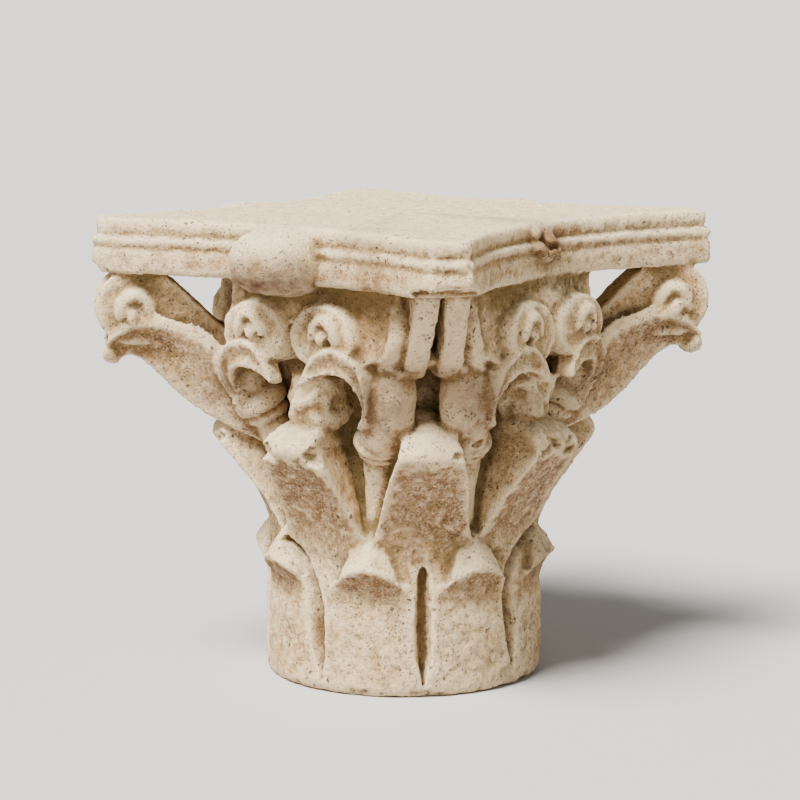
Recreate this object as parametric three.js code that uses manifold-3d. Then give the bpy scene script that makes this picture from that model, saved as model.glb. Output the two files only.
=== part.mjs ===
// A carved stone capital of the Corinthian kind, with smooth leaves.
// Two rows of eight leaves stand round a bell. Between the upper leaves rise eight ringed stalks. Each opens
// into a leaf that carries a big volute out to a corner and a small one, a helix, to the middle of a side,
// under an abacus with hollow sides and a boss on each side. One volute and one boss are broken off.
// Millimetres, +Z up. The origin is the middle of the underside. Sides face +X, -X, +Y and -Y.
import * as THREE from "three";
import { mergeVertices } from "three/addons/utils/BufferGeometryUtils.js";
import Module from "manifold-3d";

const wasm = await Module();
wasm.setup();

// Driving dimensions. A reach is measured from the axis, outwards. A tuck is how far a disc runs up into
// what is above it.
const capitalHeight = 538;
const foot = { radius: 161, edgeRound: 8, collarHeight: 15 };
const bell = { radius: 139, neckHeight: 300, lipReach: 208, lipHeight: 17, lipRound: 5, leafSeat: 15 };
const abacus = {
  thickness: 63,
  cornerReach: 358,
  cornerWidth: 44,
  sideReach: 217,
  topFascia: 18,
  topInset: 5,
  beadHeight: 9,
  grooveDepth: 3.5,
  grooveHeight: 3,
};
const lowerLeaf = {
  height: 143,
  tipReach: 178,
  halfWidth: 58,
  tipHalfWidth: 33,
  taperFrom: 0.35,
  lipDrop: 11,
  lipBow: 8,
  backRise: 34,
};
const upperLeaf = {
  height: 282,
  tipReach: 223,
  halfWidth: 55,
  tipHalfWidth: 38,
  taperFrom: 0.2,
  lipDrop: 6,
  lipBow: 7,
  backRise: 42,
  inset: 7,
};
const stalk = {
  footRadius: 12,
  topRadius: 20,
  ringRadius: 25,
  ringRound: 2,
  ringHeight: 13,
  ringAboveLeaf: 16,
  fromCorner: 17,
  lean: 28,
};
const volute = { radius: 43, reach: 315, halfThickness: 30, eyeRadius: 20, eyeRise: 13, tuck: 3 };
const strut = { reach: 272, underside: 52, shoulder: 10, innerDrop: 22 };
const sheath = {
  halfWidth: 29,
  tipHalfWidth: 21,
  thickness: 17,
  rootThickness: 30,
  bow: 6,
  inward: 34,
  hookDrop: 17,
};
const helix = { radius: 33, halfWidth: 44, aside: 55, reach: 219, eyeRadius: 17, eyeRise: 9, tuck: 2 };
const helixLeaf = { thickness: 24, bow: 5, hookDrop: 20 };
const bud = { halfWidth: 28, halfHeight: 29, reach: 204 };
const boss = { halfWidth: 54, height: 70, reach: 283 };
const bossStub = { halfWidth: 33, height: 36, reach: 225 };
const voluteStub = { topReach: 306, bottomReach: 243, ribHalfWidth: 12, ribAside: 15, leafShare: 0.52 };

// A chip is an ellipsoid of half sizes [out, across, up], at a reach and a height in a direction in degrees.
const abacusBottom = capitalHeight - abacus.thickness;
const chips = [
  { size: [26, 30, 15], direction: -135, reach: abacus.cornerReach - 2, height: abacusBottom },
  { size: [13, 20, 12], direction: -41, reach: abacus.cornerReach + 6, height: capitalHeight - 4 },
  { size: [22, 15, 13], direction: -98, reach: upperLeaf.tipReach + 6, height: upperLeaf.height + 3 },
  { size: [24, 14, 15], direction: -80, reach: upperLeaf.tipReach + 6, height: upperLeaf.height - 2 },
  { size: [24, 17, 14], direction: 7, reach: upperLeaf.tipReach + 7, height: upperLeaf.height + 1 },
];

// Levels and places that follow from them.
// Directions are in degrees.
const leafCount = 8;
const sunk = 4; // how far a carved piece runs into the bell
const joined = 1; // how far two courses of the stone run into each other
const corners = [-135, -45, 45, 135];
const brokenCorner = -45;
const sides = [-90, 0, 90, 180];
const brokenBoss = 0;
const lipBottom = abacusBottom - bell.lipHeight;
const leafRoot = bell.radius - bell.leafSeat;
const ringLevel = upperLeaf.height + stalk.ringAboveLeaf;
const voluteCentre = abacusBottom - volute.radius + volute.tuck;
const helixCentre = lipBottom - helix.radius + helix.tuck;

const rad = THREE.MathUtils.degToRad;
const lerp = THREE.MathUtils.lerp;
const smooth = THREE.MathUtils.smoothstep;
const vec = (x, y, z) => new THREE.Vector3(x, y, z);

// A smooth curve through points, each an array of coordinates.
const curveThrough = (points) => new THREE.CatmullRomCurve3(points.map((p) => vec(...p)));

// The manifold solid of a closed geometry. A mirrored one has its faces turned out again.
function solidOf(geometry) {
  const bare = geometry.clone();
  bare.deleteAttribute("normal");
  bare.deleteAttribute("uv");
  const merged = mergeVertices(bare, 1e-3);
  const triVerts = new Uint32Array(merged.index.array);
  const vertProperties = merged.attributes.position.array;
  const made = () => new wasm.Manifold(new wasm.Mesh({ numProp: 3, vertProperties, triVerts }));
  if (made().volume() < 0)
    for (let i = 0; i < triVerts.length; i += 3)
      [triVerts[i + 1], triVerts[i + 2]] = [triVerts[i + 2], triVerts[i + 1]];
  return made();
}

// Moves each vertex of a geometry to where place(x, y, z) says.
function moved(geometry, place) {
  const at = geometry.attributes.position;
  for (let i = 0; i < at.count; i++) at.setXYZ(i, ...place(at.getX(i), at.getY(i), at.getZ(i)));
  return geometry;
}

// A block of cells shaped by place(u, v, w): u across from -1 to 1, v along and w through from 0 to 1.
const shapedBlock = (across, lengthwise, through, place) =>
  moved(new THREE.BoxGeometry(2, 1, 1, across, lengthwise, through), (x, y, z) =>
    place(x, Math.max(y + 0.5, 0), Math.max(z + 0.5, 0)),
  );

const turned = (geometry, degrees) => geometry.clone().rotateZ(rad(degrees));
const mirrored = (geometry) => geometry.clone().scale(1, -1, 1);

// Every piece of carving is made facing +X, with y across and z up, and is then turned to its place.

// A round body from an outline of [reach, height] points.
const roundBody = (outline, facets) =>
  new THREE.LatheGeometry(
    outline.map(([reach, height]) => new THREE.Vector2(reach, height)),
    facets,
  ).rotateX(Math.PI / 2);

// The foot is a plain band below the leaves.
const footShape = () =>
  roundBody(
    [
      [0, 0],
      [foot.radius - foot.edgeRound, 0],
      [foot.radius - foot.edgeRound * 0.3, foot.edgeRound * 0.3],
      [foot.radius, foot.edgeRound],
      [foot.radius, foot.collarHeight],
      [0, foot.collarHeight],
    ],
    32,
  );

// The bell is the round core behind the carving, with a lip under the abacus.
const bellShape = () =>
  roundBody(
    [
      [0, foot.edgeRound],
      [bell.radius, foot.edgeRound],
      [bell.radius, bell.neckHeight],
      [lerp(bell.radius, bell.lipReach, 0.45), lerp(bell.neckHeight, lipBottom, 0.75)],
      [bell.lipReach - bell.lipRound, lipBottom],
      [bell.lipReach, lipBottom + bell.lipRound],
      [bell.lipReach, abacusBottom + joined],
      [0, abacusBottom + joined],
    ],
    20,
  );

// A smooth leaf that wraps the bell and bends out to a lip. Its face follows profile, points of
// [reach, 0, height]. From the lip its top runs back into the bell and up by backRise.
function leaf({ profile, size, rows }) {
  const face = curveThrough(profile);
  return shapedBlock(4, rows, 1, (u, v, w) => {
    const here = face.getPoint(v);
    const tip = smooth(v, 0.7, 1);
    const halfWidth = lerp(size.halfWidth, size.tipHalfWidth, smooth(v, size.taperFrom, 1));
    const angle = (u * halfWidth) / here.x;
    const reach = lerp(leafRoot, here.x - size.lipBow * tip * u * u, w);
    const drop = size.lipDrop * tip * (u * u - 0.3);
    const height = lerp(lerp(here.z, size.height + size.backRise, tip), here.z - drop, w);
    return [reach * Math.cos(angle), reach * Math.sin(angle), height];
  });
}

const lowerLeafShape = () =>
  leaf({
    profile: [
      [foot.radius - joined, 0, foot.collarHeight - sunk],
      [foot.radius, 0, lowerLeaf.height * 0.62],
      [foot.radius + 4, 0, lowerLeaf.height * 0.88],
      [lowerLeaf.tipReach, 0, lowerLeaf.height],
    ],
    size: lowerLeaf,
    rows: 4,
  });

const upperLeafShape = () => {
  const start = foot.radius - upperLeaf.inset;
  return leaf({
    profile: [
      [start, 0, lowerLeaf.height * 0.8],
      [start, 0, upperLeaf.height * 0.56],
      [lerp(start, upperLeaf.tipReach, 0.25), 0, upperLeaf.height * 0.75],
      [lerp(start, upperLeaf.tipReach, 0.6), 0, upperLeaf.height * 0.9],
      [upperLeaf.tipReach, 0, upperLeaf.height],
    ],
    size: upperLeaf,
    rows: 5,
  });
};

// The middle of a stalk at share t of its height, seen from its corner.
const stalkAt = (t) => {
  const angle = rad(lerp(360 / leafCount / 2, stalk.fromCorner, t));
  const reach = bell.radius - sunk + stalk.lean * t ** 3;
  return vec(reach * Math.cos(angle), reach * Math.sin(angle), lerp(lowerLeaf.height, ringLevel, t));
};

// A stalk widens upwards to a thin ring and a thick one. Each row is [share of the height, radius].
function stalkShape() {
  const { footRadius, topRadius, ringRadius, ringRound, ringHeight } = stalk;
  const ringShare = ringHeight / (ringLevel - lowerLeaf.height);
  const rows = [
    [0.1, footRadius],
    [1 - 1.8 * ringShare, topRadius],
    [1 - 1.7 * ringShare, ringRadius - ringRound],
    [1 - 1.2 * ringShare, ringRadius - ringRound],
    [1 - 1.1 * ringShare, topRadius],
    [1 - 0.9 * ringShare, ringRadius],
    [1, ringRadius - ringRound],
  ];
  const last = rows.length - 1;
  const facets = 8;
  return moved(new THREE.CylinderGeometry(1, 1, last, facets, last), (x, y, z) => {
    const [t, radius] = rows[Math.round(y + last / 2)];
    const ahead = stalkAt(t + 0.02).sub(stalkAt(t - 0.02)).normalize();
    const side = vec(0, 1, 0).cross(ahead).normalize();
    const front = ahead.clone().cross(side);
    return stalkAt(t).addScaledVector(side, x * radius).addScaledVector(front, -z * radius).toArray();
  });
}

// The leaf that sheathes a corner volute from below, from its stalk out to a small hook. It is cut short
// where the volute is lost. The course runs along the middle of its underside, in shares of the way from
// the stalk's ring to below the volute: out, inwards and up.
function voluteSheath(whole) {
  const top = stalkAt(1);
  const under = voluteCentre - volute.radius;
  const rise = under - ringLevel;
  const course = [
    [0.12, 0, -0.06],
    [0.25, 0.03, 0.22],
    [0.415, 0.26, 0.42],
    [0.6, 0.56, 0.66],
    [0.82, 0.85, 0.92],
    [1, 0.97, 0.98],
    [1.11, 1, 1 - sheath.hookDrop / rise],
  ];
  const underside = curveThrough(
    course.map(([out, inwards, up]) => [
      lerp(top.x, volute.reach, out),
      top.y - inwards * sheath.inward,
      ringLevel + up * rise,
    ]),
  );
  const span = whole ? 1 : voluteStub.leafShare;
  const { halfWidth, tipHalfWidth, thickness, rootThickness, bow } = sheath;
  return shapedBlock(2, whole ? 8 : 4, 1, (u, v, w) => {
    const t = v * span;
    const here = underside.getPoint(t);
    const way = underside.getTangent(t);
    const down = vec(way.z, 0, -way.x).normalize();
    const wide = lerp(halfWidth, tipHalfWidth, smooth(t, 0.3, 0.8));
    const depth = lerp(rootThickness, thickness, smooth(t, 0, 0.8));
    here.addScaledVector(down, -bow * u * u - depth * (1 - w));
    return [here.x, here.y + u * wide, here.z];
  });
}

// The slab of a corner volute: a disc, a strut to the abacus and a stem from the bell, cut out of one plane.
function voluteSlab() {
  const outline = [
    [bell.radius, voluteCentre - strut.underside],
    [lerp(bell.radius, volute.reach, 0.5), voluteCentre - strut.underside],
    [lerp(bell.radius, volute.reach, 0.78), voluteCentre - volute.radius],
  ];
  const arc = 7;
  for (let i = 0; i <= arc; i++) {
    const angle = rad(lerp(-95, 95, i / arc));
    const height = voluteCentre + volute.radius * Math.sin(angle);
    outline.push([volute.reach + volute.radius * Math.cos(angle), Math.min(height, abacusBottom + joined)]);
  }
  outline.push(
    [strut.reach, abacusBottom + joined],
    [strut.reach - strut.shoulder, abacusBottom - strut.shoulder],
    [bell.lipReach, voluteCentre - strut.innerDrop],
    [bell.radius, voluteCentre - strut.innerDrop / 2],
  );
  const shape = new THREE.Shape(outline.map(([reach, height]) => new THREE.Vector2(reach, height)));
  const slab = new THREE.ExtrudeGeometry(shape, { depth: 2 * volute.halfThickness, bevelEnabled: false });
  return slab.rotateX(Math.PI / 2).translate(0, volute.halfThickness, 0);
}

function wholeCorner() {
  const eye = new THREE.SphereGeometry(1, 8, 6)
    .rotateX(Math.PI / 2)
    .scale(volute.eyeRadius, volute.eyeRise, volute.eyeRadius)
    .translate(volute.reach, volute.halfThickness, voluteCentre);
  const under = voluteSheath(true);
  return [voluteSlab(), eye, mirrored(eye), under, mirrored(under)];
}

// What is left of a lost volute: both sheaths cut short, and the root of the slab in two ribs.
function lostCorner() {
  const { topReach, bottomReach, ribHalfWidth, ribAside } = voluteStub;
  const under = voluteSheath(false);
  const rib = shapedBlock(1, 3, 1, (u, v, w) => {
    const front = lerp(bottomReach, topReach, v ** 1.4);
    const height = lerp(voluteCentre - volute.radius + sunk, abacusBottom + joined, v);
    return [lerp(bell.radius, front, w), ribAside + u * ribHalfWidth, height];
  });
  return [under, mirrored(under), rib, mirrored(rib)];
}

// A helix on the left of a side's middle: a disc with an eye, and the leaf that carries it, which rises
// from the stalk's ring and bends over to a hook near the middle. Its course is in shares of the way from
// the ring to below the disc: out, sideways and up.
function helixShapes() {
  const { radius, halfWidth, aside, reach, eyeRadius, eyeRise } = helix;
  const disc = new THREE.CylinderGeometry(radius, radius, reach - bell.radius, 12)
    .rotateZ(Math.PI / 2)
    .scale(1, halfWidth / radius, 1)
    .translate((reach + bell.radius) / 2, aside, helixCentre);
  const eye = new THREE.SphereGeometry(1, 8, 6)
    .rotateZ(Math.PI / 2)
    .scale(eyeRise, eyeRadius, eyeRadius)
    .translate(reach, aside, helixCentre);
  const ring = stalkAt(1).applyAxisAngle(vec(0, 0, 1), rad(-45)).multiply(vec(1, -1, 1));
  const under = helixCentre - radius - helixLeaf.thickness * 0.4;
  const course = [
    [0.27, -0.56, 0],
    [0.43, -0.42, 0.45],
    [0.89, 0.35, 0.85],
    [0.96, 0.63, 1],
    [1, 1.6, 0.965],
    [1.03, 2.44, 1 - helixLeaf.hookDrop / (under - ringLevel)],
  ];
  const bend = curveThrough(
    course.map(([out, sideways, up]) => [
      lerp(ring.x, reach, out),
      lerp(ring.y, aside, sideways),
      lerp(ringLevel, under, up),
    ]),
  );
  const carrier = shapedBlock(1, 7, 1, (u, v, w) => {
    const here = bend.getPoint(v);
    const way = bend.getTangent(v);
    const across = vec(0, -way.z, way.y).normalize();
    const wide = helixLeaf.thickness * (1 - 0.45 * v * v);
    here.addScaledVector(across, (w - 0.5) * wide);
    return [u > 0 ? here.x - helixLeaf.bow * w : bell.radius - sunk, here.y, here.z];
  });
  return [disc, eye, carrier];
}

// The bud between the hooks of two helices.
const budShape = () =>
  new THREE.SphereGeometry(1, 9, 6)
    .scale(bud.reach - bell.radius, bud.halfWidth, bud.halfHeight)
    .translate(bell.radius, 0, ringLevel + bud.halfHeight);

// A boss on a side of the abacus: a rounded lump, flat on top and flush with the abacus.
function bossShape({ halfWidth, height, reach }) {
  return shapedBlock(4, 4, 1, (u, v, w) => {
    const low = 1 - v;
    const bulge = Math.sqrt(Math.max(0, 1 - 0.75 * Math.abs(u) ** 3 - 0.6 * low ** 3));
    const out = lerp(bell.radius, lerp(abacus.sideReach - abacus.topInset, reach, bulge), w);
    return [out, u * halfWidth * Math.sqrt(1 - 0.35 * low * low), capitalHeight - height * low];
  });
}

// The outline of the abacus at an inset: a hollow curve along each side, between cut corners.
function abacusOutline(inset) {
  const outline = [];
  const steps = 6;
  const end = (direction, side) =>
    new THREE.Vector2(abacus.cornerReach - inset, (side * abacus.cornerWidth) / 2).rotateAround(
      new THREE.Vector2(),
      rad(direction),
    );
  for (const [i, corner] of corners.entries()) {
    const from = end(corner, 1);
    const to = end(corners[(i + 1) % corners.length], -1);
    const sag = new THREE.Vector2(abacus.sideReach - inset, 0).rotateAround(new THREE.Vector2(), rad(sides[i]));
    sag.sub(from.clone().lerp(to, 0.5));
    for (let step = 0; step <= steps; step++) {
      const t = step / steps;
      outline.push(from.clone().lerp(to, t).addScaledVector(sag, 4 * t * (1 - t)));
    }
  }
  return new THREE.Shape(outline);
}

// The abacus in slices from the bottom up: fascia, groove, bead, groove and fascia.
function abacusSlices() {
  const slice = (inset, low, high) => {
    const depth = high - low;
    return new THREE.ExtrudeGeometry(abacusOutline(inset), { depth, bevelEnabled: false }).translate(0, 0, low);
  };
  const { topFascia, topInset, beadHeight, grooveDepth, grooveHeight } = abacus;
  const beadTop = capitalHeight - topFascia - grooveHeight;
  const beadBottom = beadTop - beadHeight;
  return [
    slice(topInset, capitalHeight - topFascia, capitalHeight),
    slice(topInset * 0.4, beadBottom, beadTop),
    slice(0, abacusBottom, beadBottom - grooveHeight),
    slice(topInset + grooveDepth, abacusBottom + joined, capitalHeight - joined),
  ];
}

// All the carving in its places.
const carving = [footShape(), bellShape(), ...abacusSlices()];
for (let i = 0; i < leafCount; i++) {
  carving.push(turned(lowerLeafShape(), (i + 0.5) * (360 / leafCount)));
  carving.push(turned(upperLeafShape(), i * (360 / leafCount)));
}
for (const direction of corners) {
  const shapes = direction === brokenCorner ? lostCorner() : wholeCorner();
  shapes.push(stalkShape(), mirrored(stalkShape()));
  carving.push(...shapes.map((shape) => turned(shape, direction)));
}
for (const direction of sides) {
  const shapes = [budShape(), bossShape(direction === brokenBoss ? bossStub : boss)];
  for (const shape of helixShapes()) shapes.push(shape, mirrored(shape));
  carving.push(...shapes.map((shape) => turned(shape, direction)));
}
const stone = carving.map(solidOf).reduce((whole, piece) => whole.add(piece));

// Chips out of the abacus and the leaves, each knocked off by a lump of about its size.
const chipLump = ({ size, direction, reach, height }) =>
  new THREE.IcosahedronGeometry(1, 1)
    .scale(...size)
    .translate(reach, 0, height)
    .rotateZ(rad(direction));
const carved = chips.map(chipLump).map(solidOf).reduce((left, lump) => left.subtract(lump), stone);

const cut = carved.getMesh();
const geometry = new THREE.BufferGeometry();
geometry.setAttribute("position", new THREE.BufferAttribute(new Float32Array(cut.vertProperties), 3));
geometry.setIndex(new THREE.BufferAttribute(new Uint32Array(cut.triVerts), 1));
geometry.computeVertexNormals();

const limestone = new THREE.MeshStandardMaterial({ color: 0xd9c9ad, roughness: 0.92, metalness: 0 });
const capital = new THREE.Mesh(geometry, limestone);
capital.name = "capital";

const part = new THREE.Group();
part.add(capital);
export default part;
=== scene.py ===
import math

import bpy
import numpy as np
from mathutils import Matrix, Vector, noise


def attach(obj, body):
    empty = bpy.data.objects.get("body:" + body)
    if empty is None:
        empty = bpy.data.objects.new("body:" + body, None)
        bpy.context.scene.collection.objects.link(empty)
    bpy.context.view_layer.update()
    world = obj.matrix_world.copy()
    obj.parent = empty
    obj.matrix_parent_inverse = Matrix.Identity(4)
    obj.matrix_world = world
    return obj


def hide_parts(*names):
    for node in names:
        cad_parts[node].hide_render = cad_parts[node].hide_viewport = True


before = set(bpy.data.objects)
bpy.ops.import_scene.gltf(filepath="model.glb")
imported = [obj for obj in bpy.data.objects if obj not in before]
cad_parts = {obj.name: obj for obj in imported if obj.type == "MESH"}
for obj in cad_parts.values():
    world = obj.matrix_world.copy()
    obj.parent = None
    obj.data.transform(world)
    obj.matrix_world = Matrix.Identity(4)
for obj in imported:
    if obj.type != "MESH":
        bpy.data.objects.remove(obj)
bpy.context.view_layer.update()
mm = 0.001  # every size below is in millimetres

# The camera looks at the broken corner from a little above the stone.
viewpoint = {
    "distance": 3400,
    "height": 840.4,
    "aside": -4.57,
    "azimuth": 37,
    "tiltDown": 8.74,
    "lens": 132.3,
}


def addCamera(view):
    turn = math.radians(view["azimuth"])
    x = view["distance"] * math.sin(turn) + view["aside"] * math.cos(turn)
    y = view["aside"] * math.sin(turn) - view["distance"] * math.cos(turn)
    tilt = math.radians(90 - view["tiltDown"])
    bpy.ops.object.camera_add(location=(x * mm, y * mm, view["height"] * mm), rotation=(tilt, 0, turn))
    camera = bpy.context.object
    camera.data.lens = view["lens"]
    camera.data.sensor_width = 36
    camera.data.clip_end = 100
    bpy.context.scene.camera = camera


addCamera(viewpoint)
print("camera placed")


# Tools for shaping. A reach is measured outwards from the axis of the column, and each piece of carving is
# made facing +X, with aside along +Y, before it is turned to its place.
def only(piece):
    bpy.ops.object.select_all(action="DESELECT")
    piece.select_set(True)
    bpy.context.view_layer.objects.active = piece


def pointsOf(piece):
    points = np.empty(len(piece.data.vertices) * 3, np.float32)
    piece.data.vertices.foreach_get("co", points)
    return points.reshape(-1, 3).astype(float)


def setPoints(piece, points):
    piece.data.vertices.foreach_set("co", np.ascontiguousarray(points, np.float32).ravel())
    piece.data.update()


def eased(x, low, high):
    t = np.clip((x - low) / (high - low), 0, 1)
    return t * t * (3 - 2 * t)


def lerp(a, b, share):
    return a + (b - a) * share


def alongRow(values, share):
    # a value for each row of a course, read between the rows
    return np.interp(share, np.linspace(0, 1, len(values)), values)


def alongCourse(points, share):
    # a smooth curve through the points
    points = np.asarray(points, float)
    last = len(points) - 1
    x = np.clip(share, 0, 1) * last
    i = np.minimum(x.astype(int), last - 1)
    f = (x - i)[:, None]
    ends = np.vstack([2 * points[0] - points[1], points, 2 * points[-1] - points[-2]])
    a, b, c, d = ends[i], ends[i + 1], ends[i + 2], ends[i + 3]
    return 0.5 * (2 * b + (c - a) * f + (2 * a - 5 * b + 4 * c - d) * f**2 + (3 * b - 3 * c + d - a) * f**3)


def unit(vectors):
    # the same directions, one long
    return vectors / np.linalg.norm(vectors, axis=1)[:, None]


def fromReach(reach, angle, height):
    return np.column_stack([reach * np.cos(angle), reach * np.sin(angle), height])


def bentSlab(name, across, along, shape):
    # a grid, extruded once and bent: u goes across from -1 to 1, v along and w through from 0 to 1
    bpy.ops.object.select_all(action="DESELECT")
    bpy.ops.mesh.primitive_grid_add(x_subdivisions=across, y_subdivisions=along, size=2)
    piece = bpy.context.object
    piece.name = name
    bpy.ops.object.mode_set(mode="EDIT")
    bpy.ops.mesh.select_all(action="SELECT")
    bpy.ops.mesh.extrude_region_move(TRANSFORM_OT_translate={"value": (0, 0, 1)})
    bpy.ops.object.mode_set(mode="OBJECT")
    points = pointsOf(piece)
    setPoints(piece, shape(points[:, 0], (points[:, 1] + 1) / 2, points[:, 2]) * mm)
    return piece


def bentRod(name, facets, rows, shape):
    # a disc, extruded row by row and bent: x and y lie on a unit circle, v goes along from 0 to 1
    bpy.ops.object.select_all(action="DESELECT")
    bpy.ops.mesh.primitive_circle_add(vertices=facets, radius=1, fill_type="NGON")
    piece = bpy.context.object
    piece.name = name
    bpy.ops.object.mode_set(mode="EDIT")
    bpy.ops.mesh.select_all(action="SELECT")
    for row in range(rows):
        bpy.ops.mesh.extrude_region_move(TRANSFORM_OT_translate={"value": (0, 0, 1 / rows)})
    bpy.ops.object.mode_set(mode="OBJECT")
    points = pointsOf(piece)
    setPoints(piece, shape(points[:, 0], points[:, 1], points[:, 2]) * mm)
    return piece


def spunBody(name, facets, profile):
    # a round body on the axis, through [reach, height] rows
    reach, height = np.array(profile, float).T
    rows = len(profile) - 1

    def shape(x, y, v):
        row = np.rint(v * rows).astype(int)
        return np.column_stack([x * reach[row], y * reach[row], height[row]])

    return bentRod(name, facets, rows, shape)


def lump(name, size, place, direction=0, rough=0.0, seed=0, power=2.0):
    # a ball of half sizes out, aside and up; a higher power makes it squarer
    bpy.ops.object.select_all(action="DESELECT")
    bpy.ops.mesh.primitive_ico_sphere_add(subdivisions=4, radius=1)
    piece = bpy.context.object
    piece.name = name
    points = pointsOf(piece)
    points /= (np.abs(points) ** power).sum(1)[:, None] ** (1 / power)
    if rough:
        wobble = [noise.noise(Vector(point * 1.7) + Vector((seed, 0, 0))) for point in points]
        grit = [noise.noise(Vector(point * 5.0) + Vector((0, seed, 0))) for point in points]
        points *= (1 + rough * (np.array(wobble) + 0.35 * np.array(grit)))[:, None]
    setPoints(piece, (points * size + place) * mm)
    piece.data.transform(Matrix.Rotation(math.radians(direction), 4, "Z"))
    return piece


def turnedCopy(piece, degrees, flipped=False):
    twin = piece.copy()
    twin.data = piece.data.copy()
    bpy.context.collection.objects.link(twin)
    if flipped:
        twin.data.transform(Matrix.Scale(-1, 4, (0, 1, 0)))
        twin.data.flip_normals()
    twin.data.transform(Matrix.Rotation(math.radians(degrees), 4, "Z"))
    return twin


def copiesAround(piece, places):
    # places are (degrees, flipped); the piece itself is used up
    copies = [turnedCopy(piece, degrees, flipped) for degrees, flipped in places]
    bpy.data.objects.remove(piece)
    return copies


def joined(name, pieces):
    bpy.ops.object.select_all(action="DESELECT")
    for piece in pieces:
        piece.select_set(True)
    bpy.context.view_layer.objects.active = pieces[0]
    bpy.ops.object.join()
    whole = bpy.context.object
    whole.name = name
    bpy.ops.object.mode_set(mode="EDIT")
    bpy.ops.mesh.select_all(action="SELECT")
    bpy.ops.mesh.normals_make_consistent(inside=False)
    bpy.ops.object.mode_set(mode="OBJECT")
    return whole


def applied(piece, kind, **settings):
    only(piece)
    modifier = piece.modifiers.new(kind.lower(), kind)
    for key, value in settings.items():
        setattr(modifier, key, value)
    bpy.ops.object.modifier_apply(modifier=modifier.name)
    return piece


stone = {
    "voxel": 2.3,
    "triangles": 194000,
    "corners": (-135, -45, 45, 135),
    "sides": (-90, 0, 90, 180),
    "brokenCorner": -45,
    "brokenBoss": 0,
    "height": 538,
}
carving = []
cutting = []

# The drum behind the lower leaves, and the bell above it.
drum = {
    "profile": [(0, 0), (151, 0), (157, 2.5), (160.5, 8), (161, 20), (161, 90), (158, 125), (154, 160),
                (150, 186), (141, 200), (139, 205), (0, 205)],
}
bell = {
    "profile": [(0, 150), (139, 150), (139, 300), (150, 360), (168, 415), (190, 446), (199, 457), (203, 462),
                (204, 468), (203, 477), (0, 477)],
}

carving.append(spunBody("drum", 128, drum["profile"]))
carving.append(spunBody("bell", 96, bell["profile"]))
print("drum and bell shaped")

# A lower leaf is flush with the drum and bends out to a hood with an arched lip. From the lip its top runs
# back and up to a point between two upper leaves.
lowerLeaf = {
    "course": [(158, 70), (159, 94), (160, 112), (164, 127), (172, 137), (180, 142), (180, 149), (171, 166),
               (158, 183), (146, 196)],
    "halfWidth": [50, 52, 51, 48, 43, 40, 35, 23, 11, 3],
    "bow": [0, 0, 1, 3, 7, 11, 14, 12, 7, 3],
    "arch": 19,
    "lipAt": 0.56,
    "lipSpread": 0.13,
    "inner": 138,
}


def lowerLeafShape(u, v, w):
    size = lowerLeaf
    face = alongCourse(size["course"], v)
    lip = np.exp(-(((v - size["lipAt"]) / size["lipSpread"]) ** 2))
    ridge = lerp(2.0, 1.2, eased(v, 0.55, 0.75))
    reach = face[:, 0] - alongRow(size["bow"], v) * np.abs(u) ** ridge
    angle = u * alongRow(size["halfWidth"], v) / face[:, 0]
    height = face[:, 1] + lip * size["arch"] * (0.35 - np.abs(u) ** 2.1)
    return fromReach(lerp(size["inner"], reach, w), angle, height)


hoods = bentSlab("lowerLeaf", 18, 34, lowerLeafShape)
carving += copiesAround(hoods, [((i + 0.5) * 45, i % 2 == 0) for i in range(8)])

# An upper leaf wraps the bell and bends out to a thick lip. Its face is a little hollow under the lip.
upperLeaf = {
    "course": [(150, 96), (154, 150), (158, 181), (167, 207), (182, 234), (201, 260), (220, 280), (223, 291),
               (213, 305), (197, 315), (172, 325), (150, 330)],
    "halfWidth": [56, 57, 56, 51, 47, 43, 38, 37, 33, 26, 17, 8],
    "cup": [0, 0, 2, 5, 8, 9, 3, -2, -8, -12, -12, -8],
    "sag": 4,
    "lipAt": 0.6,
    "lipSpread": 0.12,
    "inner": 128,
}


def upperLeafShape(u, v, w):
    size = upperLeaf
    face = alongCourse(size["course"], v)
    lip = np.exp(-(((v - size["lipAt"]) / size["lipSpread"]) ** 2))
    reach = face[:, 0] + alongRow(size["cup"], v) * u**2
    angle = u * alongRow(size["halfWidth"], v) / face[:, 0]
    height = face[:, 1] + lip * size["sag"] * (u**2 - 0.5)
    return fromReach(lerp(size["inner"], reach, w), angle, height)


leaves = bentSlab("upperLeaf", 18, 44, upperLeafShape)
carving += copiesAround(leaves, [(i * 45, False) for i in range(8)])
print("leaves shaped")

# A stalk rises between two upper leaves, leans out and ends in a thin and a thick ring.
stalk = {
    "foot": 150,
    "footAngle": 22.5,
    "topAngle": 17,
    "footReach": 137,
    "whole": {"top": 340, "lean": 50, "curve": 2.2},
    "broken": {"top": 303, "lean": 27, "curve": 3},
    "radius": [(0, 8), (0.23, 11), (0.52, 15), (0.76, 19), (0.84, 20.5), (0.85, 25), (0.875, 26),
               (0.885, 21.5), (0.9, 21.5), (0.91, 29), (0.935, 31), (0.97, 30.5), (0.985, 25), (1, 23)],
}


def acrossCourse(course, v, step):
    # the middle of a course with its side and front directions
    ahead = unit(course(np.clip(v + step, 0, 1)) - course(np.clip(v - step, 0, 1)))
    side = unit(np.cross(np.array([[0.0, 0.0, 1.0]]), ahead) + 1e-9)
    return course(v), side, np.cross(ahead, side)


def roundAlong(course, radii, squeeze=1.0, step=0.03):
    # a round section that follows a course
    def shape(x, y, v):
        middle, side, front = acrossCourse(course, v, step)
        radius = radii(v)[:, None]
        return middle + side * x[:, None] * radius + front * y[:, None] * radius * squeeze
    return shape


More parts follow.
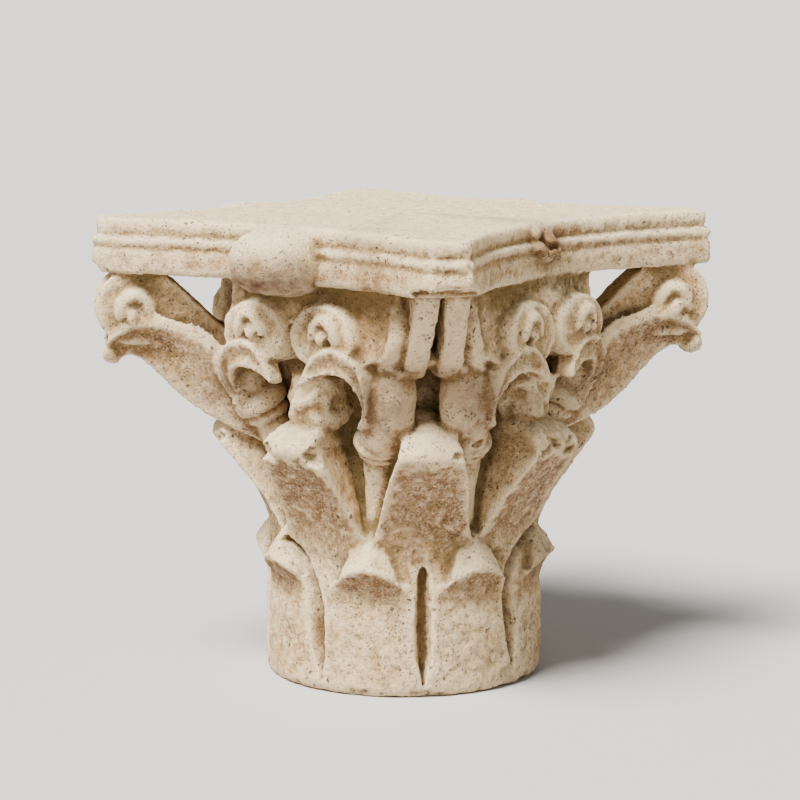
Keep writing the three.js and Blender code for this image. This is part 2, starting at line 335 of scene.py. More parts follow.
def throughPoints(size, squeeze=1.0):
    # the same for a piece with a list of course points and radii
    course, radius = size["course"], size["radius"]
    return roundAlong(lambda t: alongCourse(course, t), lambda t: alongRow(radius, t), squeeze)


def stalkShape(size):
    def course(t):
        angle = np.radians(lerp(stalk["footAngle"], stalk["topAngle"], t))
        reach = stalk["footReach"] + size["lean"] * t ** size["curve"]
        return fromReach(reach, angle, lerp(stalk["foot"], size["top"], t))
    shares, radii = np.array(stalk["radius"], float).T
    return roundAlong(course, lambda t: np.interp(t, shares, radii), step=0.01)


bothWays = (False, True)
wholeCorners = [corner for corner in stone["corners"] if corner != stone["brokenCorner"]]
onWhole = [(corner, flipped) for corner in wholeCorners for flipped in bothWays]
onBroken = [(stone["brokenCorner"], flipped) for flipped in bothWays]
carving += copiesAround(bentRod("stalk", 28, 100, stalkShape(stalk["whole"])), onWhole)
carving += copiesAround(bentRod("stalk", 28, 100, stalkShape(stalk["broken"])), onBroken)

# Above the rings swells a calyx. It leads into the leaf under the corner volute.
calyx = {
    "course": [(181, 53, 338), (186, 52, 347), (194, 50, 358), (203, 46, 370), (217, 40, 384)],
    "radius": [20, 26, 28, 26, 19],
}
carving += copiesAround(bentRod("calyx", 28, 14, throughPoints(calyx, 0.92)), onWhole)

# Below the lost volute the two calyces end as thick round stems with broken tops.
stem = {
    "course": [(160, 47, 296), (170, 45, 308), (182, 43, 330), (189, 42, 354), (192, 41, 376),
               (193, 41, 390)],
    "radius": [24, 27, 29, 29, 26, 16],
}
carving += copiesAround(bentRod("stem", 32, 20, throughPoints(stem)), onBroken)
print("stalks and calyces shaped")

# The leaf under a corner volute is a half boat: from its inner edge its underside dips to a keel and rises
# to a rim outside. It ends in a small hook. Points are reach, aside and height.
sheath = {
    "inner": [(170, 22, 304), (204, 16, 322), (238, 6, 342), (268, -2, 362), (296, -2, 380), (318, -2, 385),
              (332, -2, 382), (338, -2, 376)],
    "keel": [(174, 46, 281), (210, 43, 297), (239, 34, 313), (266, 25, 335), (292, 17, 361), (313, 14, 376),
             (329, 13, 376), (337, 12, 371)],
    "rim": [(168, 71, 318), (194, 68, 350), (216, 60, 376), (241, 50, 399), (270, 43, 411), (300, 39, 416),
            (330, 36, 408), (350, 31, 392)],
    "innerWall": 26,
    "wall": 16,
    "dip": -3.5,
    "roll": {
        "course": [(335, -2, 379), (339, 8, 378), (343, 17, 380), (345, 26, 388)],
        "radius": [8, 10, 9, 4],
    },
}


def sheathShape(u, v, w):
    inner, keel, rim = (alongCourse(sheath[name], v) for name in ("inner", "keel", "rim"))
    u = u[:, None]
    under = np.where(u < 0, lerp(keel, inner, -u), lerp(keel, rim, u))
    bulge = sheath["dip"] * (1 - np.abs(2 * np.abs(u) - 1)) * (u > 0)
    under = under + bulge * np.array([0.25, 0.65, -0.5])
    lift = lerp(sheath["innerWall"], sheath["wall"], (u + 1) / 2) * (1 - w)[:, None]
    return under + lift * np.array([-0.35, -0.25, 0.85])


carving += copiesAround(bentSlab("sheath", 16, 46, sheathShape), onWhole)
carving += copiesAround(bentRod("roll", 20, 12, throughPoints(sheath["roll"])), onWhole)

# A corner volute is a plate along the diagonal: a disc, its stem from the bell and a strut up to the abacus.
volute = {
    "radius": 43,
    "reach": 315,
    "height": 435,
    "half": 29,
    "stem": [(140, 383), (227, 383), (264, 392)],
    "strut": [(284, 477), (276, 470), (262, 458), (236, 432), (212, 410), (140, 425)],
    "eyeAt": (314, 430),
    "eyeArch": {"across": 16, "up": 19, "tube": 8.5, "rise": 11},
    "knob": (9.5, 12, 11),
}


def voluteOutline():
    turn = np.radians(np.linspace(-96, 88, 30))
    reaches = volute["reach"] + volute["radius"] * np.cos(turn)
    heights = volute["height"] + volute["radius"] * np.sin(turn)
    return np.array(volute["stem"] + list(zip(reaches, heights)) + volute["strut"])


def platePiece(name, outline, low, high):
    # an upright plate along the reach, from its outline
    count = len(outline)

    def shape(x, y, v):
        i = np.rint(np.arctan2(y, x) / (2 * np.pi) * count).astype(int) % count
        return np.column_stack([outline[i, 0], lerp(low, high, v), outline[i, 1]])

    return bentRod(name, count, 6, shape)


carving += copiesAround(platePiece("volute", voluteOutline(), -volute["half"], volute["half"]),
                        [(corner, False) for corner in wholeCorners])


def eyeArchShape(size, place, facing):
    # a raised band that bends over the eye, on a face that looks along the reach or aside
    def shape(x, y, v):
        turn = np.pi * lerp(-0.12, 1.12, v)
        across = np.cos(turn) * (size["across"] + x * size["tube"])
        up = np.sin(turn) * (size["up"] + x * size["tube"])
        rise = y * size["rise"] * (0.45 + 0.55 * np.sin(np.pi * v) ** 0.7)
        if facing == "aside":
            return np.column_stack([across, rise, up]) + place
        return np.column_stack([rise, across, up]) + place
    return shape


eyeReach, eyeHeight = volute["eyeAt"]
archPlace = (eyeReach, volute["half"], eyeHeight)
eyeArch = bentRod("eyeArch", 20, 24, eyeArchShape(volute["eyeArch"], archPlace, "aside"))
carving += copiesAround(eyeArch, onWhole)
knobPlace = (eyeReach + 3, volute["half"], eyeHeight - 5)
carving += copiesAround(lump("knob", volute["knob"], knobPlace, rough=0.2, seed=4), onWhole)

# A small pocket is taken off under the eye, and a channel between the leaf and the plate above it.
pocket = {"size": (6, 6, 7), "place": (305, 31, 421)}
channel = {
    "course": [(286, 33, 429), (260, 34, 421), (238, 35, 410), (216, 35, 395)],
    "radius": [4, 7, 7.5, 4],
}
cutting += copiesAround(lump("pocket", pocket["size"], pocket["place"], rough=0.25, seed=5), onWhole)
cutting += copiesAround(bentRod("channel", 16, 20, throughPoints(channel)), onWhole)

# What is left of the lost volute: the root of its plate in two ribs with a slot between, and a lower flank
# outside each rib. Rows are reach at the break, from the bottom up.
stub = {
    "top": 478,
    "rib": {"reach": [212, 246, 266, 282, 297, 306], "aside": 17, "half": 14, "splay": 4, "bottom": 374},
    "flank": {"reach": [214, 240, 250, 248, 234, 226], "aside": 38, "half": 11, "splay": 14, "bottom": 380},
}


def stubShape(size):
    def shape(u, v, w):
        reach = lerp(140, alongRow(size["reach"], v) - 6 * u**2, w)
        waist = size["half"] * (1 - 0.14 * np.sin(v * np.pi))
        aside = size["aside"] + size["splay"] * (1 - v) ** 2.2 + u * waist
        return np.column_stack([reach, aside, lerp(size["bottom"], stub["top"], v)])
    return shape


for size in (stub["rib"], stub["flank"]):
    carving += copiesAround(bentSlab("stub", 8, 20, stubShape(size)), onBroken)
fracture = {"size": (26, 24, 13), "places": [(196, 30, 384), (198, -33, 382), (200, -12, 396)]}
for number, place in enumerate(fracture["places"]):
    broken = lump("fracture", fracture["size"], place, stone["brokenCorner"], rough=0.35, seed=90 + number)
    carving.append(broken)
print("corner volutes shaped")

# A helix is a flat disc beside the middle of a side, with an arched eye. Its leaf rises from the calyx,
# bends over under the disc and ends in a hook near the middle. Leaf points are reach, aside and height,
# and go up the outer edge and down the inner one.
helix = {
    "centre": (48, 417),
    "half": (46, 37),
    "reach": 217,
    "eyeAt": (53, 419),
    "eyeArch": {"across": 14.5, "up": 18, "tube": 7, "rise": 9},
    "knob": (8, 7, 8),
    "pocket": (9, 6, 6),
    "outer": [(190, 92, 318), (200, 99, 345), (210, 103, 368), (215, 98, 388), (218, 85, 400),
              (219, 65, 405), (219, 47, 401), (220, 32, 388), (222, 20, 366)],
    "inner": [(178, 70, 312), (188, 84, 335), (200, 88, 352), (208, 85, 366), (213, 78, 373), (215, 64, 377),
              (216, 48, 375), (218, 36, 370), (221, 19, 360)],
}


def helixDisc(x, y, v):
    edge = 1 - 0.05 * eased(v, 0.8, 1)
    reach = lerp(150, helix["reach"], v)
    aside = helix["centre"][0] + x * helix["half"][0] * edge
    return np.column_stack([reach, aside, helix["centre"][1] + y * helix["half"][1] * edge])


def helixLeafShape(u, v, w):
    outer = alongCourse(helix["outer"], v)
    inner = alongCourse(helix["inner"], v)
    band = lerp(inner, outer, (u[:, None] + 1) / 2)
    hollow = 4 * (1 - u**2)
    reach = lerp(band[:, 0] - lerp(46, 22, eased(v, 0.3, 1)), band[:, 0] - hollow + 5, w)
    return np.column_stack([reach, band[:, 1], band[:, 2]])


eachHelix = [(side, flipped) for side in stone["sides"] for flipped in bothWays]
carving += copiesAround(bentRod("helix", 56, 16, helixDisc), eachHelix)
carving += copiesAround(bentSlab("helixLeaf", 10, 44, helixLeafShape), eachHelix)
eyeAside, eyeHeight = helix["eyeAt"]
archPlace = (helix["reach"], eyeAside, eyeHeight)
helixArch = bentRod("helixArch", 20, 24, eyeArchShape(helix["eyeArch"], archPlace, "out"))
carving += copiesAround(helixArch, eachHelix)
knobPlace = (helix["reach"], eyeAside - 2, eyeHeight - 3)
carving += copiesAround(lump("helixKnob", helix["knob"], knobPlace, rough=0.25, seed=8), eachHelix)
pocketPlace = (helix["reach"] + 3, eyeAside + 5, eyeHeight - 8)
cutting += copiesAround(lump("helixPocket", helix["pocket"], pocketPlace, rough=0.3, seed=9), eachHelix)

# Above a helix the stone is nearly flush with its disc up to the bell's lip, and next to the broken corner
# it runs on to the root of the lost volute. Levels and reaches are given from the middle outwards.
web = {
    "from": -2,
    "high": 476,
    "to": 95,
    "reach": [209, 209, 208, 204],
    "low": [430, 425, 420, 424],
    "brokenTo": 138,
    "brokenReach": [209, 209, 206, 203],
    "brokenLow": [430, 425, 385, 404],
}


def webShape(farEnd, reaches, lows):
    def shape(u, v, w):
        out = (u + 1) / 2
        low = alongRow(lows, out)
        back = 6 * eased(v, 0.45, 0.9)
        reach = lerp(120, alongRow(reaches, out) - 5 * np.sin(np.pi * v) * out - back, w)
        return np.column_stack([reach, lerp(web["from"], farEnd, out), lerp(low, web["high"], v)])
    return shape


plainWeb = bentSlab("web", 16, 18, webShape(web["to"], web["reach"], web["low"]))
carving += copiesAround(plainWeb, eachHelix)
brokenWeb = bentSlab("web", 20, 18, webShape(web["brokenTo"], web["brokenReach"], web["brokenLow"]))
besideBroken = [(stone["brokenCorner"] - 45, False), (stone["brokenCorner"] + 45, True)]
carving += copiesAround(brokenWeb, besideBroken)

# A bud sits low between the hooks of two helices.
bud = {"size": (40, 32, 34), "place": (160, 3, 338)}
for number, side in enumerate(stone["sides"]):
    carving.append(lump("bud", bud["size"], bud["place"], side, rough=0.3, seed=20 + number, power=2.6))
print("helices and buds shaped")

# The abacus has hollow sides and cut corners. Its edge is a fascia, a groove, a bead, a groove and a top
# fascia set back. Rows are inset and height.
abacus = {
    "cornerReach": 359,
    "cornerHalf": 22,
    "sideReach": {-90: 226, 0: 206, 90: 217, 180: 217},
    "profile": [(7, 475), (2, 476.5), (0, 480), (0, 501), (3.5, 503.5), (4, 505.5), (1.5, 507.5),
                (-0.5, 510), (-0.5, 514), (2, 516.5), (8.5, 518), (9, 520), (5.5, 522), (5, 531), (7, 536),
                (11, 538)],
    "stepsOnSide": 40,
    "stepsOnCorner": 4,
}


def abacusTip(direction, way, inset):
    # one end of the cut at a corner, on either way from its diagonal
    turn = np.radians(direction)
    out = np.array([np.cos(turn), np.sin(turn)])
    across = np.array([-out[1], out[0]]) * way
    return out * (abacus["cornerReach"] - inset) + across * (abacus["cornerHalf"] - inset * 0.4)


def abacusOutline(inset):
    points = []
    for corner, side in zip(stone["corners"], stone["sides"]):
        for step in range(abacus["stepsOnCorner"]):
            share = step / abacus["stepsOnCorner"]
            points.append(lerp(abacusTip(corner, -1, inset), abacusTip(corner, 1, inset), share))
        start, finish = abacusTip(corner, 1, inset), abacusTip(corner + 90, -1, inset)
        turn = np.radians(side)
        middle = np.array([np.cos(turn), np.sin(turn)]) * (abacus["sideReach"][side] - inset)
        sag = middle - (start + finish) / 2
        for step in range(abacus["stepsOnSide"]):
            t = step / abacus["stepsOnSide"]
            points.append(lerp(start, finish, t) + sag * 4 * t * (1 - t))
    return np.array(points)


def abacusShape(x, y, v):
    outlines = np.array([abacusOutline(inset) for inset, height in abacus["profile"]])
    heights = np.array([height for inset, height in abacus["profile"]], float)
    count = outlines.shape[1]
    row = np.rint(v * (len(heights) - 1)).astype(int)
    i = np.rint(np.arctan2(y, x) / (2 * np.pi) * count).astype(int) % count
    return np.column_stack([outlines[row, i], heights[row]])


edgePoints = 4 * (abacus["stepsOnSide"] + abacus["stepsOnCorner"])
carving.append(bentRod("abacus", edgePoints, len(abacus["profile"]) - 1, abacusShape))

# A boss stands out from the middle of each side: an egg, flat on top. One is broken off to a rough stub.
boss = {
    "size": (78, 54, 39),
    "place": (207, 0, 500),
    "stub": (44, 34, 23),
    "stubPlace": (172, -12, 513),
}
for number, side in enumerate(stone["sides"]):
    if side == stone["brokenBoss"]:
        egg = lump("bossStub", boss["stub"], boss["stubPlace"], side, rough=0.34, seed=12, power=2.6)
    else:
        egg = lump("boss", boss["size"], boss["place"], side, rough=0.05, seed=14 + number, power=2.5)
    points = pointsOf(egg)
    points[:, 2] = np.minimum(points[:, 2], stone["height"] * mm)
    setPoints(egg, points)
    carving.append(egg)
print("abacus and bosses shaped")

# Grooves part the lower leaves. Each is a blade that is swept along its path of angle and height on the
# drum, deep and thin, and pointed below. Angles are from the middle of the upper leaf above it.
groove = {
    "face": 161,
    "hood": 14,
    "half": 11.5,
    "depth": 20,
    "plain": [(0, 14), (0, 60), (0, 100), (0, 130), (0, 150)],
    "left": [(1, 14), (-1, 56), (-1.5, 92), (-4, 120), (-10, 150), (-21, 172)],
    "right": [(-1, 17), (-3, 64), (-5, 104), (-2, 138), (8, 164), (20, 180)],
}


def grooveShape(path):
    def shape(u, v, w):
        here = alongCourse(path, v)
        ahead = alongCourse(path, np.clip(v + 0.02, 0, 1)) - alongCourse(path, np.clip(v - 0.02, 0, 1))
        ahead[:, 0] *= np.radians(160)
        ahead = unit(ahead)
        taper = (eased(v, 0, 0.2) * 0.8 + 0.2) * (1 - 0.5 * eased(v, 0.85, 1))
        half = groove["half"] * taper * (0.4 + 0.6 * w)
        angle = np.radians(here[:, 0]) + u * half * ahead[:, 1] / 160
        height = here[:, 1] - u * half * ahead[:, 0]
        hood = groove["hood"] * (eased(here[:, 1], 110, 150) - eased(here[:, 1], 160, 182))
        outside = groove["face"] + hood + 6
        return fromReach(lerp(groove["face"] - groove["depth"], outside, w), angle, height)
    return shape


for number in range(8):
    direction = number * 45
    path = {270: groove["left"], 0: groove["right"]}.get(direction, groove["plain"])
    cutting += copiesAround(bentSlab("groove", 4, 40, grooveShape(path)), [(direction, False)])

# Chips and breaks: half sizes out, aside and up, then direction, reach and height of the middle.
chips = [
    ((20, 30, 13), -135, 362, 474), ((10, 16, 9), -132, 366, 540), ((9, 12, 7), -139, 366, 496),
    ((14, 22, 10), -40.5, 362, 541), ((10, 9, 16), -41, 364, 512), ((7, 12, 5), -46, 366, 538),
    ((9, 16, 7), 45, 366, 474), ((8, 14, 8), 48, 364, 540),
    ((20, 13, 11), -98, 227, 281), ((22, 12, 13), -81, 229, 280), ((12, 9, 8), -88, 233, 276),
    ((22, 15, 13), 6, 231, 282), ((14, 11, 10), -7, 231, 281), ((10, 8, 7), -37, 228, 287),
    ((12, 13, 9), -126, 227, 284), ((16, 12, 10), 52, 228, 283), ((18, 14, 12), 97, 228, 281),
    ((9, 9, 6), -60, 181, 137), ((12, 9, 8), -74, 184, 137), ((9, 8, 7), -15, 183, 135),
    ((8, 16, 6), -50, 163, 1), ((7, 12, 5), -36, 164, 2), ((9, 20, 5), -62, 164, 0),
    ((8, 14, 6), -20, 163, 1), ((9, 22, 7), 28, 164, 0), ((8, 12, 6), -104, 163, 1),
    ((10, 18, 6), 120, 164, 0), ((9, 15, 6), 200, 163, 1),
    ((10, 5, 7), -4, 211, 512), ((8, 12, 8), 9, 214, 526), ((8, 7, 10), -22, 246, 496),
    ((10, 16, 7), -62, 268, 474), ((8, 10, 5), -116, 282, 474), ((9, 12, 5), 28, 262, 474),
    ((36, 50, 13), -45, 352, 477), ((12, 20, 13), -40.5, 365, 522), ((14, 20, 9), -36, 350, 474),
    ((24, 14, 13), -104, 226, 285), ((20, 16, 12), -3, 233, 290), ((7, 6, 6), -5, 206, 520),
    ((9, 4, 8), -1, 214, 508), ((14, 30, 9), -44, 166, 1), ((12, 18, 10), -72, 166, 1),
    ((12, 24, 9), 8, 166, 1), ((7, 10, 6), -28, 196, 296), ((7, 9, 6), 26, 196, 292),
    ((12, 10, 9), -78, 228, 362), ((10, 8, 8), 12, 226, 366),
]
for number, (size, direction, reach, height) in enumerate(chips):
    chip = lump("chip", size, (reach, 0, height), direction, rough=0.55, seed=40 + number, power=2.2)
    cutting.append(chip)

# A thin slot parts the two ribs at the broken corner.
slot = {"size": (30, 3.2, 20), "place": (296, 0, 434)}
cutting.append(lump("slot", slot["size"], slot["place"], stone["brokenCorner"], rough=0.2, seed=33, power=3))
print(len(carving), "pieces to carve from and", len(cutting), "to take off")

# All of it becomes one stone, worn by the remeshing, and what is cut is taken off.
capital = joined("capitalStone", carving)
applied(capital, "REMESH", mode="VOXEL", voxel_size=stone["voxel"] * mm)
cutter = joined("cutter", cutting)
applied(cutter, "REMESH", mode="VOXEL", voxel_size=min(stone["voxel"], 2.3) * 0.8 * mm)
print("stone", len(capital.data.vertices), "cutter", len(cutter.data.vertices))
applied(capital, "BOOLEAN", operation="DIFFERENCE", solver="MANIFOLD", object=cutter)
bpy.data.objects.remove(cutter)
applied(capital, "REMESH", mode="VOXEL", voxel_size=stone["voxel"] * mm)
print("stone after the cuts", len(capital.data.vertices))


def keepBiggest(piece):
    # closed hollows inside the stone are dropped
    only(piece)
    bpy.ops.object.mode_set(mode="EDIT")
    bpy.ops.mesh.select_all(action="SELECT")
    bpy.ops.mesh.separate(type="LOOSE")
    bpy.ops.object.mode_set(mode="OBJECT")
    parts = sorted(bpy.context.selected_objects, key=lambda part: len(part.data.vertices))
    for part in parts[:-1]:
        bpy.data.objects.remove(part)
    return parts[-1]


capital = keepBiggest(capital)
capital.name = "capitalStone"

# Weathering: broad unevenness, a rough skin and grain. Size is that of the pattern, and depth is how far it
# moves the surface.
weather = {
    "broad": {"size": 70, "depth": 3.0},
    "skin": {"size": 14, "depth": 2.6},
    "grain": {"size": 6, "depth": 1.6},
}
for name, layer in weather.items():
    texture = bpy.data.textures.new(name, "CLOUDS")
    texture.noise_scale = layer["size"] * mm
    applied(capital, "DISPLACE", texture=texture, texture_coords="LOCAL", strength=layer["depth"] * mm,
            mid_level=0.5)
points = pointsOf(capital)
points[:, 2] = np.maximum(points[:, 2], 0)  # the bed it stands on is flat
setPoints(capital, points)
print("weathered")

share = stone["triangles"] / sum(len(face.vertices) - 2 for face in capital.data.polygons)
if share < 1:
    applied(capital, "DECIMATE", ratio=share)
only(capital)
bpy.ops.object.shade_smooth()
print("stone has", len(capital.data.polygons), "triangles")


# Where dirt gathers, where shade is painted and where edges wear is worked out on the mesh: a point that
# lies behind its smoothed surroundings is in a hollow, and one in front of them is on an edge. Small hollows
# get dirt, and the deep hollows of the wide relief get painted shade.
def relief(points, normals, ends, rounds):
    count = len(points)
    near = np.bincount(ends.ravel(), minlength=count)[:, None]
    flat = points.copy()
    for turn in range(rounds):
        total = np.empty((count, 3))
        for axis in range(3):
            total[:, axis] = np.bincount(ends[:, 0], flat[ends[:, 1], axis], count)
            total[:, axis] += np.bincount(ends[:, 1], flat[ends[:, 0], axis], count)
        flat = lerp(flat, total / near, 0.7)
    return ((flat - points) * normals).sum(1) / mm


points = pointsOf(capital)
normals = np.empty(len(points) * 3, np.float32)
capital.data.vertices.foreach_get("normal", normals)
normals = normals.reshape(-1, 3).astype(float)
ends = np.empty(len(capital.data.edges) * 2, np.int32)
capital.data.edges.foreach_get("vertices", ends)
ends = ends.reshape(-1, 2)
fineRelief = relief(points, normals, ends, 6)
wideRelief = relief(points, normals, ends, 90)

# Stains and moss lie where they are seen, and so do patches of painted shade under the bosses, stems and
# calyces:
# direction, height, half width in degrees, half height and strength.
stains = [(-60, 490, 6, 40, 1.0), (-61, 440, 6, 50, 0.9), (-66, 520, 5, 18, 0.5), (-38, 450, 5, 30, 0.4),
          (-3, 516, 8, 20, 1.0), (-47, 365, 7, 24, 0.45)]
# painted shade: browned patches where the undersides of the bosses, stems and calyces lie in shade
paintedShadeSpots = [(-90, 480, 16, 24, 1.0), (-60, 345, 9, 38, 0.8), (-31, 345, 8, 38, 0.7), (-3, 514, 9, 20, 1.0),
           (-45, 375, 10, 18, 0.7), (-118, 350, 12, 30, 0.5), (28, 350, 12, 30, 0.5)]
mosses = [(12, 150, 11, 45, 1.0), (-3, 60, 3, 70, 0.8), (-100, 160, 12, 20, 0.5), (-48, 525, 4, 10, 0.8),
          (-2, 310, 16, 30, 0.8), (-84, 312, 14, 22, 0.6), (-135, 408, 6, 12, 0.6), (45, 412, 7, 14, 0.9)]


def patches(spots):
    direction = np.degrees(np.arctan2(points[:, 1], points[:, 0]))
    height = points[:, 2] / mm
    total = np.zeros(len(points))
    for middle, level, halfWidth, halfHeight, strength in spots:
        aside = (direction - middle + 180) % 360 - 180
        total += strength * np.exp(-((aside / halfWidth) ** 2) - ((height - level) / halfHeight) ** 2)
    return np.clip(total, 0, 1)


masks = {
    # hollow: dirt in fine grooves, and painted shade in deep recesses found by the wide relief
    "hollow": np.clip((wideRelief - 1) / 7, 0, 1) * 0.85 + np.clip(fineRelief / 1.2, 0, 1) * 0.5,
    "crest": np.clip(-fineRelief / 1.0, 0, 1),
    "stain": patches(stains),
    # painted shade patches under the bosses, stems and calyces
    "moss": patches(mosses),
    "paintedShade": patches(paintedShadeSpots),
}
for name, values in masks.items():
    attribute = capital.data.attributes.new(name, "FLOAT", "POINT")
    attribute.data.foreach_set("value", np.clip(values, 0, 1).astype(np.float32))
# the masks hold painted shade as well as dirt, wear, stains and moss
print("dirt, wear, stains and moss placed")


def linear(code):
    channels = [int(code[i:i + 2], 16) / 255 for i in (1, 3, 5)]
    return [c / 12.92 if c <= 0.04045 else ((c + 0.055) / 1.055) ** 2.4 for c in channels] + [1]


def addNode(tree, kind, settings=None, inputs=None):
    node = tree.nodes.new(kind)
    for key, value in (settings or {}).items():
        setattr(node, key, value)
    for key, value in (inputs or {}).items():
        if isinstance(value, bpy.types.NodeSocket):
            tree.links.new(value, node.inputs[key])
        else:
            node.inputs[key].default_value = value
    return node


# Limestone: a porous cream stone, carved, weathered and dull. It is palest on its top, which is painted
# light, and pinkish brown where it looks down and in patches under the bosses, stems and calyces, which is
# painted shade. It is olive and grey where dirt lies in grooves and where painted shade fills deep recesses,
# and dotted with small dark pores. Its real grain is about 1 mm and too fine to show, so it is drawn at 3
# mm. Patterns are size in millimetres, detail and roughness, and up is how far the surface looks up. A layer
# lays its colour over those before it, by the
# product of its ranges: pattern or mask, its low and high value, and the share of colour at each.
limestone = {
    "cream": "#d8ae76",
    "pale": "#f8e0b4",
    "rose": "#6e4630",
    # painted shade: the dark brown of the shade patches
    "paintedShadeBrown": "#5c3b27",
    "olive": "#6d5832",
    "brown": "#86643c",
    "dark": "#2b2018",
    "patterns": {"cloud": (90, 4, 0.55), "patch": (34, 5, 0.6), "mottle": (13, 6, 0.65), "grit": (5, 5, 0.7),
                 "grain": (3, 3, 0.7)},
    "pores": {
        "pore": {"size": 4.6, "edge": 0.28, "core": 0.14, "field": 18, "bare": 0.42, "full": 0.62},
        "bigPore": {"size": 14, "edge": 0.17, "core": 0.1, "field": 45, "bare": 0.48, "full": 0.6},
    },
    "layers": [
        ("pale", [("cloud", 0.42, 0.62, 0, 0.55)]),
        ("rose", [("patch", 0.45, 0.64, 0, 0.42)]),
        # painted shade: the faces that look down turn rose brown
        ("rose", [("up", 0.12, -0.4, 0, 1), ("mottle", 0.3, 0.6, 0.45, 0.95)]),
        ("pale", [("grain", 0.48, 0.62, 0, 0.38)]),
        ("olive", [("grit", 0.5, 0.36, 0, 0.7)]),
        ("olive", [("mottle", 0.46, 0.34, 0, 0.4)]),
        # painted light: the faces that look up turn pale
        ("pale", [("up", 0.2, 0.85, 0, 0.75)]),
        ("pale", [("crest", 0, 1, 0, 0.6)]),
        # painted shade: dark brown patches under the bosses, stems and calyces
        ("paintedShadeBrown", [("paintedShade", 0, 1, 0, 1), ("mottle", 0.3, 0.6, 0.6, 1)]),
        # dirt in grooves, and painted shade in deep recesses
        ("olive", [("hollow", 0, 1, 0, 1), ("mottle", 0.2, 0.6, 0.6, 1)]),
        ("brown", [("stain", 0, 1, 0, 1), ("mottle", 0.35, 0.6, 0.2, 0.8)]),
        ("olive", [("moss", 0, 1, 0, 1), ("mottle", 0.4, 0.6, 0.15, 0.8)]),
        ("dark", [("pore", 0, 1, 0, 0.65)]),
        ("dark", [("bigPore", 0, 1, 0, 0.7)]),
    ],
    "bumps": [("grain", 2.0, 0.75, False), ("grit", 4.5, 0.8, False), ("pore", 2.0, 1, True),
              ("bigPore", 3.5, 1, True)],
}


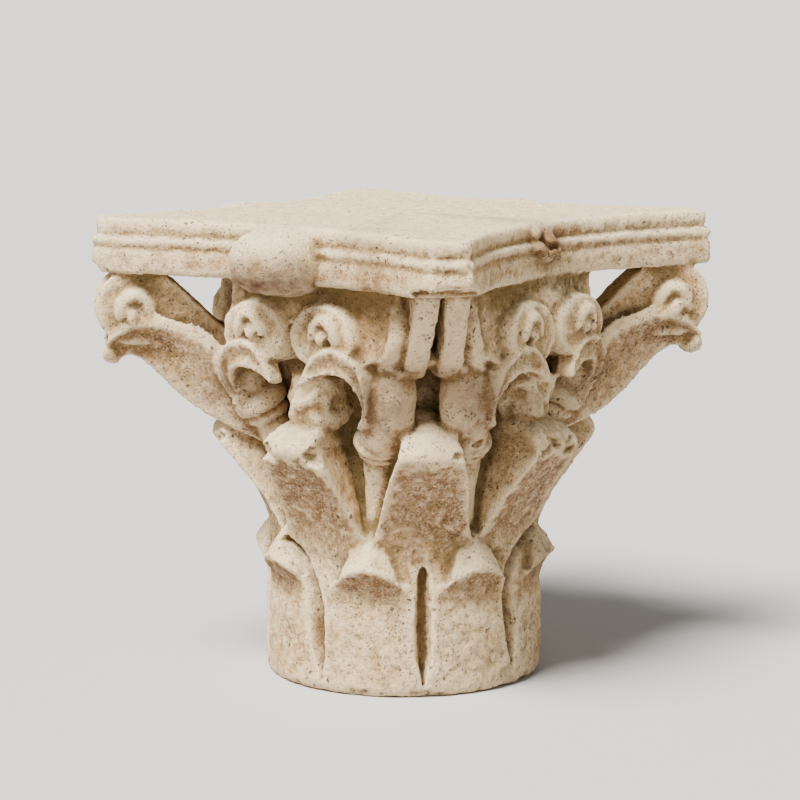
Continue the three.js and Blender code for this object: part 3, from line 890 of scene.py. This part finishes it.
def limestoneMaterial():
    material = bpy.data.materials.new("limestone")
    material.use_nodes = True
    tree = material.node_tree
    shader = tree.nodes["Principled BSDF"]
    shader.inputs["Roughness"].default_value = 0.93
    shader.inputs["Specular IOR Level"].default_value = 0.2
    place = addNode(tree, "ShaderNodeTexCoord").outputs["Object"]
    facing = addNode(tree, "ShaderNodeNewGeometry").outputs["Normal"]
    sources = {"up": addNode(tree, "ShaderNodeSeparateXYZ", None, {0: facing}).outputs["Z"]}
    for name in masks:
        sources[name] = addNode(tree, "ShaderNodeAttribute", {"attribute_name": name}).outputs["Fac"]
    for name, (size, detail, rough) in limestone["patterns"].items():
        inputs = {"Vector": place, "Scale": 1 / (size * mm), "Detail": detail, "Roughness": rough}
        sources[name] = addNode(tree, "ShaderNodeTexNoise", None, inputs).outputs["Fac"]

    # a pore is a ragged hole: a cell whose place is shaken by noise, kept only where the field is high
    for name, pore in limestone["pores"].items():
        inputs = {"Vector": place, "Scale": 2 / (pore["size"] * mm), "Detail": 3, "Roughness": 0.6}
        shake = addNode(tree, "ShaderNodeTexNoise", None, inputs).outputs["Color"]
        inputs = {0: shake, "Scale": pore["size"] * 0.6 * mm}
        shake = addNode(tree, "ShaderNodeVectorMath", {"operation": "SCALE"}, inputs).outputs[0]
        inputs = {0: place, 1: shake}
        shaken = addNode(tree, "ShaderNodeVectorMath", {"operation": "ADD"}, inputs).outputs[0]
        inputs = {"Vector": shaken, "Scale": 1 / (pore["size"] * mm)}
        cells = addNode(tree, "ShaderNodeTexVoronoi", None, inputs).outputs["Distance"]
        inputs = {"Value": cells, "From Min": pore["edge"], "From Max": pore["core"]}
        hole = addNode(tree, "ShaderNodeMapRange", {"clamp": True}, inputs).outputs["Result"]
        inputs = {"Vector": place, "Scale": 1 / (pore["field"] * mm), "Detail": 2, "Roughness": 0.55}
        field = addNode(tree, "ShaderNodeTexNoise", None, inputs).outputs["Fac"]
        inputs = {"Value": field, "From Min": pore["bare"], "From Max": pore["full"]}
        kept = addNode(tree, "ShaderNodeMapRange", {"clamp": True}, inputs).outputs["Result"]
        inputs = {0: hole, 1: kept}
        sources[name] = addNode(tree, "ShaderNodeMath", {"operation": "MULTIPLY"}, inputs).outputs[0]

    colour = linear(limestone["cream"])
    for code, ranges in limestone["layers"]:
        amount = None
        for name, low, high, atLow, atHigh in ranges:
            inputs = {"Value": sources[name], "From Min": low, "From Max": high}
            inputs.update({"To Min": atLow, "To Max": atHigh})
            share = addNode(tree, "ShaderNodeMapRange", {"clamp": True}, inputs).outputs["Result"]
            if amount:
                inputs = {0: amount, 1: share}
                share = addNode(tree, "ShaderNodeMath", {"operation": "MULTIPLY"}, inputs).outputs[0]
            amount = share
        inputs = {"Factor": amount, 6: colour, 7: linear(limestone[code])}
        colour = addNode(tree, "ShaderNodeMix", {"data_type": "RGBA"}, inputs).outputs[2]
    tree.links.new(colour, shader.inputs["Base Color"])

    bump = None
    for name, depth, strength, sunk in limestone["bumps"]:
        inputs = {"Height": sources[name], "Strength": strength, "Distance": depth * mm}
        if bump:
            inputs["Normal"] = bump
        bump = addNode(tree, "ShaderNodeBump", {"invert": sunk}, inputs).outputs[0]
    tree.links.new(bump, shader.inputs["Normal"])
    return material


capital.data.materials.clear()
capital.data.materials.append(limestoneMaterial())
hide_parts("capital")
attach(capital, "root")
print("limestone made")

# The studio: a pale floor under a pale sky, and one soft key light from above, in front and to the left.
studio = {
    "floor": "#c9c5bf",
    "floorSize": 180,
    "sky": "#dfe1e3",
    "skyStrength": 0.38,
    "key": 11.0,
    "keyAngle": 26,
    "keyFrom": (-0.1, -1.5, 2.3),
    "fill": 5,
    "fillSize": 2,
    "fillFrom": (2.6, -1.2, 1.3),
    "fillAt": (0, 0, 0.3),
}


def addStudio():
    bpy.ops.object.select_all(action="DESELECT")
    bpy.ops.mesh.primitive_plane_add(size=studio["floorSize"])
    floor = bpy.context.object
    floor.name = "floor"
    paint = bpy.data.materials.new("floorPaint")
    paint.use_nodes = True
    shader = paint.node_tree.nodes["Principled BSDF"]
    shader.inputs["Base Color"].default_value = linear(studio["floor"])
    shader.inputs["Roughness"].default_value = 0.7
    floor.data.materials.append(paint)
    world = bpy.data.worlds.new("studioSky")
    world.use_nodes = True
    background = world.node_tree.nodes["Background"]
    background.inputs["Color"].default_value = linear(studio["sky"])
    background.inputs["Strength"].default_value = studio["skyStrength"]
    bpy.context.scene.world = world
    bpy.ops.object.light_add(type="SUN", location=studio["keyFrom"])
    key = bpy.context.object
    key.name = "keyLight"
    key.data.energy = studio["key"]
    key.data.angle = math.radians(studio["keyAngle"])
    key.rotation_euler = (-Vector(studio["keyFrom"])).to_track_quat("-Z", "Y").to_euler()
    bpy.ops.object.light_add(type="AREA", location=studio["fillFrom"])
    fill = bpy.context.object
    fill.name = "fillLight"
    fill.data.energy = studio["fill"]
    fill.data.size = studio["fillSize"]
    fill.rotation_euler = (Vector(studio["fillAt"]) - fill.location).to_track_quat("-Z", "Y").to_euler()


addStudio()
